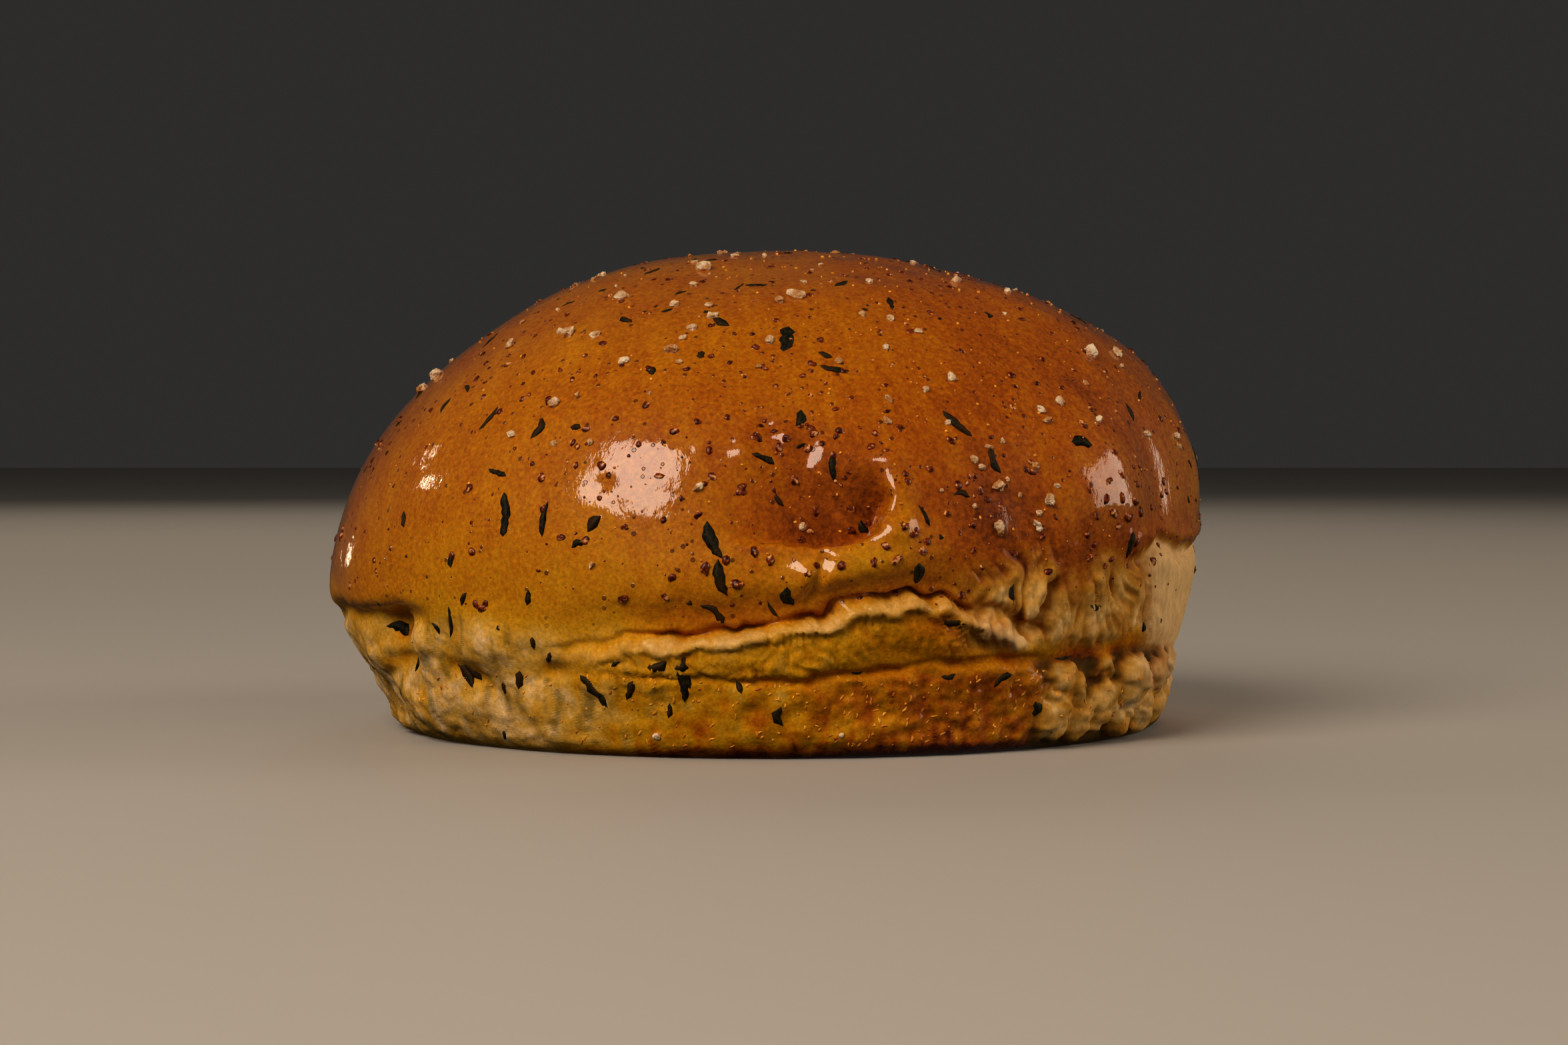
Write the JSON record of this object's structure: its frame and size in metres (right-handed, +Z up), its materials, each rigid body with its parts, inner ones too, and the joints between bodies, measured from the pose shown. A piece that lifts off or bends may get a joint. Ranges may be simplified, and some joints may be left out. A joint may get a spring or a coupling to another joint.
{
  "type": "burger bun",
  "caption": "Whole baked burger bun: glossy browned domed top, pinched waist fold and pale skirt on a flat round base, with herbs baked in.",
  "frame": {"origin": "centre of the bun's outline, on the flat base it stands on", "axes": "+X to the bun's right seen from the front, its longest extent; -Y the front; +Z up through the dome"},
  "size_m": [0.1088, 0.1052, 0.0595],
  "materials": {
    "crust": "satin",
    "herb": "satin",
    "granule": "satin"
  },
  "bodies": {
    "root": {"bun": "crust"}
  },
  "joints": []
}
